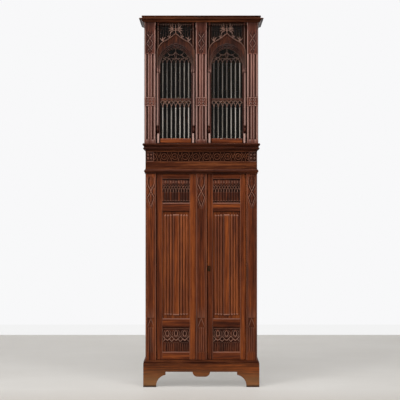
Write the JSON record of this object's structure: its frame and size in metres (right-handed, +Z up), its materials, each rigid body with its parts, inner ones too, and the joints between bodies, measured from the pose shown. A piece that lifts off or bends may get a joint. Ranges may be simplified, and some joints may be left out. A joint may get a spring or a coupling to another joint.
{
  "type": "glazed cabinet",
  "caption": "Tall Gothic-style oak cabinet: glazed doors with arches, tracery and spindles above panelled linenfold doors, on a bracket-foot plinth",
  "frame": {"origin": "on the floor under the middle of the cabinet's box", "axes": "+Z up, the doors face -Y, +X to the right of someone facing the doors"},
  "size_m": [0.736, 0.456, 2.2],
  "materials": {
    "oak": "dark stained and waxed",
    "window_glass": "clear pane",
    "iron": "blackened",
    "brass": "aged"
  },
  "bodies": {
    "case": {"bottom_board": "oak", "cornice": "oak", "frieze_board": "oak", "frieze_end_blocks": "oak", "frieze_moulding": "oak", "frieze_tracery": "oak", "lower_back_boards": "oak", "lower_left_pilaster": "oak", "lower_left_side_frame": "oak", "lower_right_pilaster": "oak", "lower_right_side_frame": "oak", "lower_shelf": "oak", "pivot_pins": "iron", "plinth_back": "oak", "plinth_front": "oak", "plinth_moulding": "oak", "plinth_sides": "oak", "shelf_battens": "oak", "side_panels": "oak", "top_board": "oak", "upper_back_boards": "oak", "upper_left_pilaster": "oak", "upper_left_side_frame": "oak", "upper_right_pilaster": "oak", "upper_right_side_frame": "oak", "upper_shelf": "oak", "waist_board": "oak", "waist_moulding": "oak"},
    "lower_left_door": {"lower_left_door_frame": "oak", "lower_left_linenfold_panel": "oak", "lower_left_carved_panels": "oak", "lower_centre_strip": "oak"},
    "lower_right_door": {"lower_right_door_frame": "oak", "lower_right_linenfold_panel": "oak", "lower_right_carved_panels": "oak", "lower_lock_case": "iron", "lower_escutcheon": "brass"},
    "upper_left_door": {"upper_left_door_frame": "oak", "upper_left_arch": "oak", "upper_left_tracery": "oak", "upper_left_spindles": "oak", "upper_left_colonnettes": "oak", "upper_left_glass": "window_glass", "upper_left_glazing_beads": "oak", "upper_centre_strip": "oak", "upper_lock_case": "iron"},
    "upper_right_door": {"upper_right_door_frame": "oak", "upper_right_arch": "oak", "upper_right_tracery": "oak", "upper_right_spindles": "oak", "upper_right_colonnettes": "oak", "upper_right_glass": "window_glass", "upper_right_glazing_beads": "oak"},
    "lower_left_foot_bolt": {"lower_left_foot_bolt": "iron"},
    "lower_left_head_bolt": {"lower_left_head_bolt": "iron"},
    "upper_right_foot_bolt": {"upper_right_foot_bolt": "iron"},
    "upper_right_head_bolt": {"upper_right_head_bolt": "iron"},
    "lower_lock_bolt": {"lower_lock_bolt": "iron"},
    "upper_lock_bolt": {"upper_lock_bolt": "iron"}
  },
  "joints": [
    {"name": "lower_left_door_hinge", "type": "hinge", "parent": "case", "child": "lower_left_door", "pos_m": [-0.2565, -0.174, 0.7], "axis": [0, 0, -1], "range_deg": [0, 95]},
    {"name": "lower_right_door_hinge", "type": "hinge", "parent": "case", "child": "lower_right_door", "pos_m": [0.2565, -0.174, 0.7], "axis": [0, 0, 1], "range_deg": [0, 95]},
    {"name": "upper_left_door_hinge", "type": "hinge", "parent": "case", "child": "upper_left_door", "pos_m": [-0.2555, -0.189, 1.8], "axis": [0, 0, -1], "range_deg": [0, 105]},
    {"name": "upper_right_door_hinge", "type": "hinge", "parent": "case", "child": "upper_right_door", "pos_m": [0.2555, -0.189, 1.8], "axis": [0, 0, 1], "range_deg": [0, 105]},
    {"name": "lower_left_foot_bolt_slide", "type": "slide", "parent": "lower_left_door", "child": "lower_left_foot_bolt", "axis": [0, 0, -1], "range_m": [0, 0.012]},
    {"name": "lower_left_head_bolt_slide", "type": "slide", "parent": "lower_left_door", "child": "lower_left_head_bolt", "axis": [0, 0, 1], "range_m": [0, 0.012]},
    {"name": "upper_right_foot_bolt_slide", "type": "slide", "parent": "upper_right_door", "child": "upper_right_foot_bolt", "axis": [0, 0, -1], "range_m": [0, 0.012]},
    {"name": "upper_right_head_bolt_slide", "type": "slide", "parent": "upper_right_door", "child": "upper_right_head_bolt", "axis": [0, 0, 1], "range_m": [0, 0.012]},
    {"name": "lower_lock_bolt_slide", "type": "slide", "parent": "lower_right_door", "child": "lower_lock_bolt", "axis": [-1, 0, 0], "range_m": [0, 0.011]},
    {"name": "upper_lock_bolt_slide", "type": "slide", "parent": "upper_left_door", "child": "upper_lock_bolt", "axis": [1, 0, 0], "range_m": [0, 0.011]}
  ]
}
